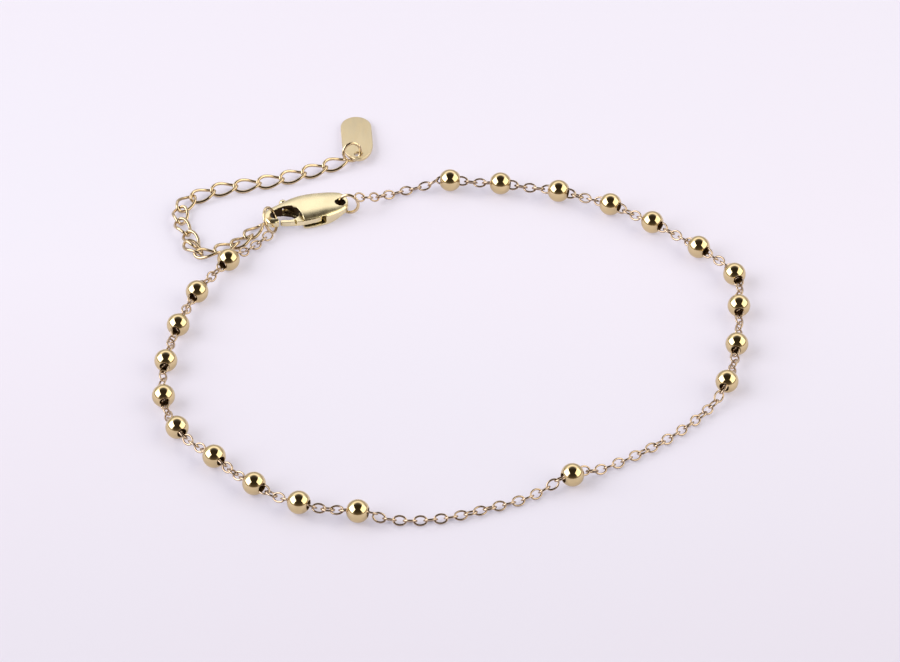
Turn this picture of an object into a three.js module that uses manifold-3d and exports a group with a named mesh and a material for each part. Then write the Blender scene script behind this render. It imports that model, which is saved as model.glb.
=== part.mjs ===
// Charm anklet: a fine cable chain with round beads, closed by a lobster clasp,
// with an extension chain that ends in an oval drop tag.
// Units are millimetres, +Z is up, and the anklet lies on the plane z = 0.
import * as THREE from 'three';
import { mergeVertices } from 'three/addons/utils/BufferGeometryUtils.js';
import ManifoldModule from 'manifold-3d';

const wasm = await ManifoldModule();
wasm.setup();
const { Manifold, Mesh } = wasm;

// Sizes
// The loop. LOOP_WIDTH and LOOP_DEPTH spread the bead places below.
const LOOP_WIDTH = 74.5;           // first to last bead centre along X
const LOOP_DEPTH = 69.5;           // first to last bead centre along Y
const BEAD_DIAMETER = 3.0;
const BEAD_BORE = 1.3;
const CHAIN_DIAMETER = 1.0;        // outside of the fine cable links
const CHAIN_IN_BEAD = 0.35;        // how far a run of chain reaches into a bead
const CHAIN_SAG = 0.35;            // how far a short run droops between two beads

// The clasp, lying flat. Its own axes are u (hook to tail) and v (gate side to tab side).
const CLASP_LENGTH = 11.7;
const CLASP_WIDTH = 5.0;
const CLASP_THICKNESS = 2.1;
const CLASP_EDGE = 0.22;           // rounding of its outline
const CLASP_AT = [-25.35, 18.85];  // the hook's outermost point
const CLASP_HEADING = 16.5;        // degrees from +X
const HOOK_FLOOR = 0.6;            // underside of the hook
const HOOK_TOP = 1.75;             // top of the hook
const TAIL_FLOOR = 0.7;            // underside of the tail
const TAIL_TOP = 1.9;              // top of the tail
const TAIL_HOLE_DIAMETER = 1.44;
const LEVER_THICKNESS = 0.9;
const LEVER_SLOT = 1.1;            // height of the slot that the lever turns in
const PIN_DIAMETER = 0.84;
const PIN_CLEARANCE = 0.08;        // radial, between the pin and the lever

// Jump rings: wire and outside diameters.
const RING_WIRE = 0.42;
const CLASP_RING_DIAMETER = 3.0;
const END_RING_DIAMETER = 3.8;
const TAG_RING_DIAMETER = 2.9;

// The extension chain and its tag.
const EXTENSION_WIDTH = 2.1;       // across the flat curb links
const EXTENSION_THICKNESS = 0.9;
const TAG_LENGTH = 10.8;
const TAG_WIDTH = 4.2;
const TAG_THICKNESS = 0.5;
const TAG_EDGE = 0.1;
const TAG_HOLE_DIAMETER = 1.1;
const TAG_HOLE_FROM_END = 1.25;
const TAG_FAR_ROUND = 2.6;         // how far the rounding of its far end reaches along it
const TAG_NEAR_ROUND = 4.2;        // and that of its near end, which the ring holds
const TAG_HOLE_AT = [-12.95, 33.96];
const TAG_HEADING = 93.5;          // degrees from +X, towards its far end
const TAG_LIFT = 0.7;              // its near end rests on the ring's wire

// The route
// Bead centres in order from the clasp round to the end ring, chosen by hand,
// and the places where the two long bare runs of chain lie between them.
const ROUTE_WIDTH = 74.5;
const ROUTE_DEPTH = 69.5;
const BEAD_PLACES = [
  [-0.5, 27.4], [6.3, 26.7], [14.1, 25.0], [21.0, 22.0], [26.5, 18.0],
  [32.5, 12.5], [37.0, 6.6], [37.3, -0.2], [36.7, -8.3], [35.1, -16.1],
  [14.9, -35.0],
  [-12.0, -42.1], [-19.4, -40.4], [-25.1, -36.7], [-30.3, -31.3], [-35.2, -25.5],
  [-37.2, -19.1], [-37.2, -11.8], [-35.9, -4.3], [-33.7, 2.8], [-29.8, 9.7],
];
const RIGHT_RUN = [[33.4, -19.6], [30.6, -23.2], [26.6, -27.2], [21.3, -31.2], [17.8, -33.4]];
const FRONT_RUN = [[12.0, -36.5], [8.9, -38.6], [4.3, -40.5], [-0.4, -42.2], [-5.2, -42.9], [-9.2, -42.6]];
// these two also say how high the chain hangs between its ring and the surface
const CLASP_RUN = [[-11.3, 23.1, 1.8], [-9.2, 24.9, 0.8], [-7.2, 26.0, 0.55], [-5.2, 26.8, 0.55], [-3.3, 27.1, 1.0]];
const END_RUN = [[-27.9, 12.2, 0.9], [-26.5, 13.9, 0.6]];
const EXTENSION_RUN = [
  [-25.3, 17.8], [-26.9, 17.3], [-28.5, 15.4], [-30.3, 14.0], [-32.7, 12.7], [-34.5, 13.6], [-35.2, 15.4],
  [-36.2, 18.0], [-36.5, 20.8], [-35.9, 23.4], [-33.9, 25.2], [-31.0, 26.5], [-28.0, 27.3],
  [-24.9, 28.1], [-21.8, 29.4], [-18.8, 30.8], [-16.6, 31.8], [-15.05, 32.65],
];

const beadRadius = BEAD_DIAMETER / 2;
const spreadX = LOOP_WIDTH / ROUTE_WIDTH;
const spreadY = LOOP_DEPTH / ROUTE_DEPTH;
// The clasp end of the loop is where the loop is closed, so the spread starts there.
const ANCHOR = [CLASP_AT[0], CLASP_AT[1]];
const spread = ([x, y, ...z]) => [
  ANCHOR[0] + (x - ANCHOR[0]) * spreadX,
  ANCHOR[1] + (y - ANCHOR[1]) * spreadY, ...z,
];
const at = (p, z = p[2]) => new THREE.Vector3(p[0], p[1], z);
const degrees = (a) => (a * Math.PI) / 180;

// Helpers
const group = new THREE.Group();
group.name = 'charm_anklet';

function add(name, geometry, color, roughness = 0.2) {
  const g = geometry.index ? geometry.toNonIndexed() : geometry;
  g.computeVertexNormals();
  const mesh = new THREE.Mesh(g, new THREE.MeshStandardMaterial({
    color, metalness: 1, roughness, side: THREE.FrontSide,
  }));
  mesh.name = name;
  group.add(mesh);
  return mesh;
}
const BEAD_GOLD = 0xd9b45f;
const CHAIN_GOLD = 0xdcc08a;
const CLASP_GOLD = 0xdcbb6c;
const RING_GOLD = 0xc9a566;
const TAG_GOLD = 0xd9c79c;

function solid(geometry) {
  const g = geometry.clone();
  for (const key of Object.keys(g.attributes)) if (key !== 'position') g.deleteAttribute(key);
  const m = mergeVertices(g, 1e-5);
  return new Manifold(new Mesh({
    numProp: 3,
    vertProperties: new Float32Array(m.attributes.position.array),
    triVerts: new Uint32Array(m.index.array),
  }));
}
function surface(manifold) {
  const mesh = manifold.getMesh();
  const g = new THREE.BufferGeometry();
  const stride = mesh.numProp;
  const xyz = new Float32Array((mesh.vertProperties.length / stride) * 3);
  for (let i = 0; i < xyz.length / 3; i++) {
    for (let k = 0; k < 3; k++) xyz[3 * i + k] = mesh.vertProperties[stride * i + k];
  }
  g.setAttribute('position', new THREE.BufferAttribute(xyz, 3));
  g.setIndex(new THREE.BufferAttribute(new Uint32Array(mesh.triVerts), 1));
  return g;
}
// A rod of elliptical section along a curve; `up` is its size along Z, `across` lies flat.
function rod(curve, across, up, steps, sides = 8) {
  const shape = new THREE.Shape();
  for (let i = 0; i < sides; i++) {
    const a = ((i + 0.5) / sides) * 2 * Math.PI;
    const x = (up / 2) * Math.cos(a);
    const y = (across / 2) * Math.sin(a);
    if (i === 0) shape.moveTo(x, y); else shape.lineTo(x, y);
  }
  shape.closePath();
  return new THREE.ExtrudeGeometry(shape, {
    steps, bevelEnabled: false, extrudePath: curve,
  });
}
function stepsFor(curve, diameter, pace = 2.5) {
  return Math.max(3, Math.min(80, Math.round(curve.getLength() / (pace * diameter))));
}

// Beads
const beadPlaces = BEAD_PLACES.map(spread);
const rightRun = RIGHT_RUN.map(spread);
const frontRun = FRONT_RUN.map(spread);
const claspRun = CLASP_RUN.map(spread);
const endRun = END_RUN.map(spread);

// The neighbours of a bead along the chain give the direction of its bore.
function neighbours(i) {
  let before = i === 0 ? claspRun[claspRun.length - 1] : beadPlaces[i - 1];
  let after = i === 20 ? endRun[0] : beadPlaces[i + 1];
  if (i === 9) after = rightRun[0];
  if (i === 10) { before = rightRun[rightRun.length - 1]; after = frontRun[0]; }
  if (i === 11) before = frontRun[frontRun.length - 1];
  return [before, after];
}
function direction(i) {
  const here = beadPlaces[i];
  const [before, after] = neighbours(i);
  const a = new THREE.Vector2(here[0] - before[0], here[1] - before[1]).normalize();
  const b = new THREE.Vector2(after[0] - here[0], after[1] - here[1]).normalize();
  const d = a.add(b).normalize();
  return new THREE.Vector3(d.x, d.y, 0);
}
const beadDirections = beadPlaces.map((_, i) => direction(i));

const boreRadius = BEAD_BORE / 2;
const mouth = Math.sqrt(beadRadius ** 2 - boreRadius ** 2);
function beadGeometry() {
  const profile = [];
  const first = Math.atan2(-mouth, boreRadius);
  const last = Math.atan2(mouth, boreRadius);
  const parts = 7;
  for (let k = 0; k <= parts; k++) {
    const a = first + ((last - first) * k) / parts;
    profile.push(new THREE.Vector2(beadRadius * Math.cos(a), beadRadius * Math.sin(a)));
  }
  profile.push(new THREE.Vector2(boreRadius, -mouth));
  return new THREE.LatheGeometry(profile, 12);
}
beadPlaces.forEach((p, i) => {
  const g = beadGeometry();
  const turn = new THREE.Quaternion().setFromUnitVectors(
    new THREE.Vector3(0, 1, 0), beadDirections[i]);
  // one flat of the lathe faces down, so that the bead meets z = 0
  g.rotateY(Math.PI / 12);
  g.applyQuaternion(turn);
  g.computeBoundingBox();
  g.translate(p[0], p[1], -g.boundingBox.min.z);
  add(`bead_${String(i + 1).padStart(2, '0')}`, g, BEAD_GOLD, 0.12);
});

// Clasp
// Its outline, as shares of its length (u) and of its width (v).
const CLASP_OUTSIDE = [
  [0.150, -0.265], [0.094, -0.280], [0.043, -0.244], [0.013, -0.150], [0.000, 0.000],
  [0.013, 0.150], [0.051, 0.275], [0.115, 0.355], [0.205, 0.420], [0.291, 0.488],
  [0.385, 0.555], [0.496, 0.598], [0.615, 0.608], [0.735, 0.585], [0.838, 0.510],
  [0.920, 0.410], [0.978, 0.280], [1.000, 0.069], [0.983, -0.090], [0.940, -0.200],
  [0.863, -0.280], [0.744, -0.370], [0.624, -0.420], [0.513, -0.440], [0.427, -0.430],
];
const CLASP_MOUTH = [
  [0.425, -0.220], [0.400, 0.060], [0.345, 0.195], [0.262, 0.248], [0.188, 0.228],
  [0.120, 0.165], [0.078, 0.069], [0.072, -0.050], [0.095, -0.135], [0.150, -0.160],
];
// The slot for the lever, open on the gate's side and where the tab comes out.
const CLASP_SLOT = [
  [0.342, -0.605], [0.701, -0.605], [0.684, -0.200], [0.632, 0.069], [0.564, 0.206],
  [0.530, 0.343], [0.513, 0.668], [0.231, 0.668], [0.248, 0.172], [0.342, 0.086],
];
const LEVER_OUTLINE = [
  [0.167, -0.275], [0.274, -0.350], [0.393, -0.410], [0.513, -0.420], [0.624, -0.380],
  [0.658, -0.280], [0.615, -0.100], [0.564, 0.086], [0.496, 0.172], [0.419, 0.378],
  [0.350, 0.516], [0.316, 0.636], [0.256, 0.619], [0.252, 0.516], [0.308, 0.395],
  [0.359, 0.206], [0.385, 0.034], [0.368, -0.120], [0.291, -0.210], [0.167, -0.154],
];
const LEVER_PIVOT = [0.491, -0.056];
const TAIL_HOLE = [0.906, 0.028];

const claspPoint = ([u, v]) => new THREE.Vector2(u * CLASP_LENGTH, v * CLASP_WIDTH);
const smooth = (shares, n) => new THREE.SplineCurve(shares.map(claspPoint)).getPoints(n);
const claspHeading = degrees(CLASP_HEADING);
// From the clasp's own axes to the anklet's.
function placeClasp(geometry) {
  geometry.rotateZ(claspHeading);
  geometry.translate(CLASP_AT[0], CLASP_AT[1], 0);
  return geometry;
}
const fromClasp = (u, v, z) => new THREE.Vector3(u, v, z)
  .applyAxisAngle(new THREE.Vector3(0, 0, 1), claspHeading)
  .add(new THREE.Vector3(CLASP_AT[0], CLASP_AT[1], 0));

function slab(points, low, high, hole = null) {
  const shape = new THREE.Shape(points);
  if (hole) {
    const path = new THREE.Path();
    path.absarc(hole.x, hole.y, hole.r, 0, 2 * Math.PI, true);
    shape.holes.push(path);
  }
  const g = new THREE.ExtrudeGeometry(shape, {
    depth: high - low, bevelEnabled: false, curveSegments: 12,
  });
  g.translate(0, 0, low);
  return g;
}
function claspBody() {
  const outline = [...smooth(CLASP_OUTSIDE, 44), ...smooth(CLASP_MOUTH, 16)];
  const g = new THREE.ExtrudeGeometry(new THREE.Shape(outline), {
    depth: CLASP_THICKNESS - 2 * CLASP_EDGE, bevelEnabled: true, bevelThickness: CLASP_EDGE,
    bevelSize: CLASP_EDGE, bevelOffset: -CLASP_EDGE, bevelSegments: 2,
  });
  g.translate(0, 0, CLASP_EDGE);
  let body = solid(g);
  const middle = CLASP_THICKNESS / 2;
  // wedges that thin the hook and the tail, drawn in (u, z) and carried across v
  const L = CLASP_LENGTH;
  const wedge = (points) => {
    const w = new THREE.ExtrudeGeometry(new THREE.Shape(points.map(([u, z]) => new THREE.Vector2(u, z))), {
      depth: 3 * CLASP_WIDTH, bevelEnabled: false,
    });
    w.rotateX(Math.PI / 2);
    w.translate(0, 1.5 * CLASP_WIDTH, 0);
    return solid(w);
  };
  const over = CLASP_THICKNESS + 1;
  body = body.subtract(wedge([[-1, HOOK_TOP], [0.20 * L, HOOK_TOP], [0.36 * L, CLASP_THICKNESS + 0.01], [0.36 * L, over], [-1, over]]));
  body = body.subtract(wedge([[-1, HOOK_FLOOR], [-1, -1], [0.33 * L, -1], [0.33 * L, -0.01], [0.18 * L, HOOK_FLOOR]]));
  body = body.subtract(wedge([[L + 1, TAIL_TOP], [L + 1, over], [0.78 * L, over], [0.78 * L, CLASP_THICKNESS + 0.01], [0.91 * L, TAIL_TOP]]));
  body = body.subtract(wedge([[L + 1, TAIL_FLOOR], [0.87 * L, TAIL_FLOOR], [0.74 * L, -0.01], [0.74 * L, -1], [L + 1, -1]]));
  const slot = slab(CLASP_SLOT.map(claspPoint), middle - LEVER_SLOT / 2, middle + LEVER_SLOT / 2);
  body = body.subtract(solid(slot));
  const pin = new THREE.CylinderGeometry(PIN_DIAMETER / 2, PIN_DIAMETER / 2, LEVER_SLOT + 0.4, 24);
  pin.rotateX(Math.PI / 2);
  const pivot = claspPoint(LEVER_PIVOT);
  pin.translate(pivot.x, pivot.y, middle);
  body = body.add(solid(pin));
  const hole = new THREE.CylinderGeometry(TAIL_HOLE_DIAMETER / 2, TAIL_HOLE_DIAMETER / 2, 3 * CLASP_THICKNESS, 20);
  hole.rotateX(Math.PI / 2);
  const tail = claspPoint(TAIL_HOLE);
  hole.translate(tail.x, tail.y, middle);
  return body.subtract(solid(hole));
}
add('clasp_body', placeClasp(surface(claspBody())), CLASP_GOLD, 0.16);

function claspLever() {
  const pivot = claspPoint(LEVER_PIVOT);
  const middle = CLASP_THICKNESS / 2;
  const outline = smooth([...LEVER_OUTLINE, LEVER_OUTLINE[0]], 44).slice(0, -1);
  return slab(outline, middle - LEVER_THICKNESS / 2, middle + LEVER_THICKNESS / 2,
    { x: pivot.x, y: pivot.y, r: PIN_DIAMETER / 2 + PIN_CLEARANCE });
}
add('clasp_lever', placeClasp(claspLever()), CLASP_GOLD, 0.18);

// Jump rings
// A ring by its centre and the direction that its plane faces.
function ring(name, diameter, centre, facing) {
  const middle = (diameter - RING_WIRE) / 2;
  const g = new THREE.TorusGeometry(middle, RING_WIRE / 2, 8, 20);
  g.applyQuaternion(new THREE.Quaternion().setFromUnitVectors(
    new THREE.Vector3(0, 0, 1), facing.clone().normalize()));
  g.translate(centre.x, centre.y, centre.z);
  add(name, g, RING_GOLD, 0.2);
}
// The clasp's ring hangs in the tail hole and stands on its edge, turned to the gate's side.
const CLASP_RING_OUT = 1.11;       // from the tail hole to the ring's middle, along u
const CLASP_RING_SIDE = -0.37;     // and along v
const CLASP_RING_LIFT = 0.11;      // its lowest point, above the surface
const CLASP_RING_FACING = [-0.49, -0.86, 0.15];
const claspTurn = (v) => v.applyAxisAngle(new THREE.Vector3(0, 0, 1), claspHeading);
const claspRingAt = fromClasp(TAIL_HOLE[0] * CLASP_LENGTH + CLASP_RING_OUT,
  TAIL_HOLE[1] * CLASP_WIDTH + CLASP_RING_SIDE, CLASP_RING_DIAMETER / 2 + CLASP_RING_LIFT);
const claspRingFacing = claspTurn(new THREE.Vector3(...CLASP_RING_FACING));
ring('clasp_ring', CLASP_RING_DIAMETER, claspRingAt, claspRingFacing);

// The end ring hangs on the hook: its middle from the hook's outermost point, as shares of
// the clasp's length, width and thickness, and the way it faces, in the clasp's axes.
const END_RING_AT = [0.0521, -0.194, 0.843];
const END_RING_FACING = [0.79, -0.44, 0.42];
const endRingAt = fromClasp(END_RING_AT[0] * CLASP_LENGTH, END_RING_AT[1] * CLASP_WIDTH,
  END_RING_AT[2] * CLASP_THICKNESS);
const endRingFacing = claspTurn(new THREE.Vector3(...END_RING_FACING));
ring('end_ring', END_RING_DIAMETER, endRingAt, endRingFacing);

// Tag
// Its own axes start at its hole and point along it, towards its far end.
const tagHeading = degrees(TAG_HEADING);
const upward = new THREE.Vector3(0, 0, 1);
const tagTurn = (v) => v.applyAxisAngle(upward, tagHeading);
function tag() {
  const half = TAG_WIDTH / 2;
  const near = -TAG_HOLE_FROM_END;
  const far = near + TAG_LENGTH;
  const shape = new THREE.Shape();
  shape.absellipse(far - TAG_FAR_ROUND, 0, TAG_FAR_ROUND, half, -Math.PI / 2, Math.PI / 2, false, 0);
  shape.absellipse(near + TAG_NEAR_ROUND, 0, TAG_NEAR_ROUND, half, Math.PI / 2, 1.5 * Math.PI, false, 0);
  shape.closePath();
  const hole = new THREE.Path();
  hole.absarc(0, 0, TAG_HOLE_DIAMETER / 2, 0, 2 * Math.PI, true);
  shape.holes.push(hole);
  const g = new THREE.ExtrudeGeometry(shape, {
    depth: TAG_THICKNESS - 2 * TAG_EDGE, curveSegments: 12, bevelEnabled: true,
    bevelThickness: TAG_EDGE, bevelSize: TAG_EDGE, bevelOffset: -TAG_EDGE, bevelSegments: 1,
  });
  g.translate(0, 0, TAG_EDGE);
  g.rotateY(Math.asin(TAG_LIFT / TAG_LENGTH));
  g.computeBoundingBox();
  g.translate(0, 0, -g.boundingBox.min.z);
  g.rotateZ(tagHeading);
  g.translate(TAG_HOLE_AT[0], TAG_HOLE_AT[1], 0);
  return g;
}
add('drop_tag', tag(), TAG_GOLD, 0.35);

// The tag's ring, from the tag's hole and in the tag's axes.
const TAG_RING_AT = [-0.08, 0.86, 1.51];
const TAG_RING_FACING = [-0.894, -0.298, 0.335];
const tagRingAt = tagTurn(new THREE.Vector3(...TAG_RING_AT))
  .add(new THREE.Vector3(TAG_HOLE_AT[0], TAG_HOLE_AT[1], 0));
ring('tag_ring', TAG_RING_DIAMETER, tagRingAt, tagTurn(new THREE.Vector3(...TAG_RING_FACING)));

// Chain runs
const restZ = CHAIN_DIAMETER / 2;
const inner = mouth - CHAIN_IN_BEAD;
function bore(i, side) {
  // a point inside the bead's bore and one just outside its mouth
  const p = at(beadPlaces[i], beadRadius);
  const d = beadDirections[i].clone().multiplyScalar(side);
  return [p.clone().addScaledVector(d, inner), p.clone().addScaledVector(d, mouth + 0.4)];
}
function shortRun(i) {
  const [a] = bore(i, 1);
  const [b] = bore(i + 1, -1);
  const third = a.distanceTo(b) / 3;
  const down = new THREE.Vector3(0, 0, -CHAIN_SAG);
  const p1 = a.clone().addScaledVector(beadDirections[i], third).add(down);
  const p2 = b.clone().addScaledVector(beadDirections[i + 1], -third).add(down);
  return new THREE.CubicBezierCurve3(a, p1, p2, b);
}
function longRun(points) {
  return new THREE.CatmullRomCurve3(points, false, 'centripetal');
}
const run = (name, curve) => add(`chain_run_${name}`,
  rod(curve, CHAIN_DIAMETER, CHAIN_DIAMETER, stepsFor(curve, CHAIN_DIAMETER)), CHAIN_GOLD, 0.25);
const two = (n) => String(n).padStart(2, '0');

// from the upper outer side of the clasp's ring down to the surface and up to the first bead
const fromRing = claspTurn(new THREE.Vector3(0.95, -0.1, 0.57))
  .multiplyScalar(CLASP_RING_DIAMETER / 2 + 0.05);
const claspStop = claspRingAt.clone().add(fromRing);
run('clasp_to_01', longRun([claspStop, ...claspRun.map((p) => at(p)), ...bore(0, -1).reverse()]));
for (let i = 0; i < 9; i++) run(`${two(i + 1)}_to_${two(i + 2)}`, shortRun(i));
run('10_to_11', longRun([...bore(9, 1), ...rightRun.map((p, k) => at(p, k === 0 || k === 4 ? restZ + 0.3 : restZ)), ...bore(10, -1).reverse()]));
run('11_to_12', longRun([...bore(10, 1), ...frontRun.map((p, k) => at(p, k === 0 || k === 5 ? restZ + 0.3 : restZ)), ...bore(11, -1).reverse()]));
for (let i = 11; i < 20; i++) run(`${two(i + 1)}_to_${two(i + 2)}`, shortRun(i));
const END_STOP = [-24.8, 15.9, 0.75];
run('21_to_end', longRun([...bore(20, 1), ...endRun.map((p) => at(p)), new THREE.Vector3(...END_STOP)]));

// the extension chain, flat on the surface
const extensionZ = EXTENSION_THICKNESS / 2;
const extension = new THREE.CatmullRomCurve3(EXTENSION_RUN.map((p) => at(p, extensionZ)), false, 'centripetal');
add('extension_chain', rod(extension, EXTENSION_WIDTH, EXTENSION_THICKNESS, stepsFor(extension, EXTENSION_WIDTH, 1.1)), CHAIN_GOLD, 0.25);

// Origin
// The middle of the anklet's outline on the surface it lies on is the origin.
const box = new THREE.Box3().setFromObject(group);
const shift = new THREE.Vector3(-(box.min.x + box.max.x) / 2, -(box.min.y + box.max.y) / 2, -box.min.z);
for (const mesh of group.children) mesh.geometry.translate(shift.x, shift.y, shift.z);

export default group;
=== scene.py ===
# %% [markdown]
# A charm anklet of polished yellow gold lies on a pale tabletop. Twenty-one round beads are
# threaded on a fine cable chain, a lobster clasp closes the loop, and a short extension of
# twisted curb links ends in an oval tag. The frame that is loaded first holds every piece at
# its real place as a plain solid, so this lesson gives each of them its true surface.

# %% Load the frame
import math

import bmesh
import bpy
from mathutils import Matrix, Vector
from mathutils.geometry import interpolate_bezier, intersect_point_line


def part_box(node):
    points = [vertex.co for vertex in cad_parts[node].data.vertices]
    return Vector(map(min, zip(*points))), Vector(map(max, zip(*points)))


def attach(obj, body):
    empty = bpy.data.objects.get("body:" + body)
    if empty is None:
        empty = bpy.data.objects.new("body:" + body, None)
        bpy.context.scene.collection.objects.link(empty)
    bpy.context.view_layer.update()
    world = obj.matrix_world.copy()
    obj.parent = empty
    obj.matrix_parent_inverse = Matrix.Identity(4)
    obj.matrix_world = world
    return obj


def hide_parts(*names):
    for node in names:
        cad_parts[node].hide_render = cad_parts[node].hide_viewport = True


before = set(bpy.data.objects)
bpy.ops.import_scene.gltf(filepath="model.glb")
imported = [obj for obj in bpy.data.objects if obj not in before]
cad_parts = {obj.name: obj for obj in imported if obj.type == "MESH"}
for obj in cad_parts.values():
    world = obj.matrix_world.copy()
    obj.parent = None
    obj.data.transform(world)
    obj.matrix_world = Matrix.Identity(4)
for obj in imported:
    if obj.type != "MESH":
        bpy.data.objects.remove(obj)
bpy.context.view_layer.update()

MM = 0.001
print("pieces in the frame:", len(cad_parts))

# %% [markdown]
# The camera comes first, because every later choice is judged through it. The anklet was
# seen from the front, 38 degrees above the table, through a long lens from most of a metre
# away. A long lens keeps near and far beads almost the same size.

# %% Camera
CAMERA_ELEVATION = math.radians(38)
CAMERA_DISTANCE = 704.7 * MM
CAMERA_LOOKS_AT = Vector((-0.542, -3.678, 0)) * MM
CAMERA_LENS = 216
bpy.ops.object.camera_add()
camera = bpy.context.active_object
towards_camera = Vector((0, -math.cos(CAMERA_ELEVATION), math.sin(CAMERA_ELEVATION)))
camera.location = CAMERA_LOOKS_AT + towards_camera * CAMERA_DISTANCE
camera.rotation_euler = (math.pi / 2 - CAMERA_ELEVATION, 0, 0)
camera.data.lens = CAMERA_LENS
camera.data.sensor_width = 36
camera.data.clip_start = 0.01
bpy.context.scene.camera = camera
bpy.context.scene.view_settings.view_transform = "Standard"
print("camera height in mm:", round(camera.location.z / MM, 1))

# %% [markdown]
# A few tools are needed again and again. Parts of a mesh could be picked with the mouse, but
# then the steps couldn't be run again, so picking is done in code, by the place or kind of a
# vertex, edge or face.


# %% Selecting in edit mode
def pick(piece, kind, wanted):
    """Selects the vertices, edges or faces of a piece in edit mode that wanted() accepts."""
    bpy.ops.mesh.select_mode(type=kind)
    bpy.ops.mesh.select_all(action="DESELECT")
    form = bmesh.from_edit_mesh(piece.data)
    items = {"VERT": form.verts, "EDGE": form.edges, "FACE": form.faces}[kind]
    for item in items:
        if wanted(item):
            item.select_set(True)
    form.select_flush_mode()
    bmesh.update_edit_mesh(piece.data)


def edit(piece):
    """Opens one piece in edit mode."""
    bpy.ops.object.select_all(action="DESELECT")
    piece.select_set(True)
    bpy.context.view_layer.objects.active = piece
    bpy.ops.object.mode_set(mode="EDIT")


def leave_edit():
    bpy.ops.object.mode_set(mode="OBJECT")


print("mode before the first edit:", bpy.context.mode)

# %% [markdown]
# The anklet repeats a few patterns many times: one bead, one cable link, one curb link. Each
# is modelled once and then copied, and rows of links are joined into one piece. Work is done
# in millimetres, because edit mode merges and bevels are easier to trust at that size, and
# each finished mesh is scaled to metres once, at the end.


# %% Copying, joining and finishing
def copied(pattern, place):
    """A copy of a pattern piece with a mesh of its own, moved to its place."""
    copy = pattern.copy()
    copy.data = pattern.data.copy()
    copy.data.transform(place)
    bpy.context.scene.collection.objects.link(copy)
    return copy


def joined(parts):
    """Several parts as one piece."""
    bpy.ops.object.select_all(action="DESELECT")
    for part in parts:
        part.select_set(True)
    bpy.context.view_layer.objects.active = parts[0]
    if len(parts) > 1:
        bpy.ops.object.join()
    return bpy.context.view_layer.objects.active


def apply_modifier(piece, kind, **settings):
    """Adds a modifier with its settings and applies it at once."""
    bpy.ops.object.select_all(action="DESELECT")
    piece.select_set(True)
    bpy.context.view_layer.objects.active = piece
    modifier = piece.modifiers.new(kind.lower(), kind)
    for key, value in settings.items():
        setattr(modifier, key, value)
    bpy.ops.object.modifier_apply(modifier=modifier.name)


def finished(piece, name, body, slot, finish, *nodes):
    """Scales a piece to metres, names it, gives it its metal and ties it to the frame."""
    piece.data.transform(Matrix.Scale(MM, 4))
    piece.name = name
    piece.data.name = name
    if finish:
        piece.data.materials.clear()
        piece.data.materials.append(finish)
    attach(piece, body)
    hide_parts(*nodes)


print("scale from millimetres to the scene:", MM)

# %% [markdown]
# All the metal is the same family of gold, but each kind of piece left the workshop with its
# own finish. The beads are mirror bright, the clasp has a softer polish by hand, the fine
# links are a browner champagne, and the tag is satin. One function mixes them: noise on the
# object's own coordinates tints the colour, varies the roughness and raises a very shallow
# bump, so no surface is perfectly even. Plain colours would be quicker, but they look like
# plastic as soon as the camera comes close.


# %% Gold
def gold(name, colour, roughness, blotch_size, tint, bump, stretch=(1, 1, 1)):
    """Gold with a colour and roughness that wander over blotches of a size in mm."""
    metal = bpy.data.materials.new(name)
    metal.use_nodes = True
    nodes, links = metal.node_tree.nodes, metal.node_tree.links
    shader = nodes["Principled BSDF"]
    shader.inputs["Metallic"].default_value = 1.0
    where = nodes.new("ShaderNodeTexCoord")
    mapping = nodes.new("ShaderNodeMapping")
    mapping.inputs["Scale"].default_value = stretch
    links.new(where.outputs["Object"], mapping.inputs["Vector"])
    blotches = nodes.new("ShaderNodeTexNoise")
    blotches.inputs["Scale"].default_value = 1 / (blotch_size * MM)
    blotches.inputs["Detail"].default_value = 4
    links.new(mapping.outputs["Vector"], blotches.inputs["Vector"])
    shades = nodes.new("ShaderNodeValToRGB")
    low, high = shades.color_ramp.elements
    low.position, high.position = 0.35, 0.65
    low.color = [c * (1 - tint) for c in colour] + [1]
    high.color = [min(1, c * (1 + tint)) for c in colour] + [1]
    links.new(blotches.outputs["Fac"], shades.inputs["Fac"])
    links.new(shades.outputs["Color"], shader.inputs["Base Color"])
    polish = nodes.new("ShaderNodeMapRange")
    polish.inputs["From Min"].default_value = 0.3
    polish.inputs["From Max"].default_value = 0.7
    polish.inputs["To Min"].default_value = roughness * 0.7
    polish.inputs["To Max"].default_value = roughness * 1.3
    links.new(blotches.outputs["Fac"], polish.inputs["Value"])
    links.new(polish.outputs["Result"], shader.inputs["Roughness"])
    grain = nodes.new("ShaderNodeTexNoise")
    grain.inputs["Scale"].default_value = 4 / (blotch_size * MM)
    grain.inputs["Detail"].default_value = 3
    links.new(mapping.outputs["Vector"], grain.inputs["Vector"])
    relief = nodes.new("ShaderNodeBump")
    relief.inputs["Strength"].default_value = bump
    relief.inputs["Distance"].default_value = 0.01 * MM
    links.new(grain.outputs["Fac"], relief.inputs["Height"])
    links.new(relief.outputs["Normal"], shader.inputs["Normal"])
    return metal


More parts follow.
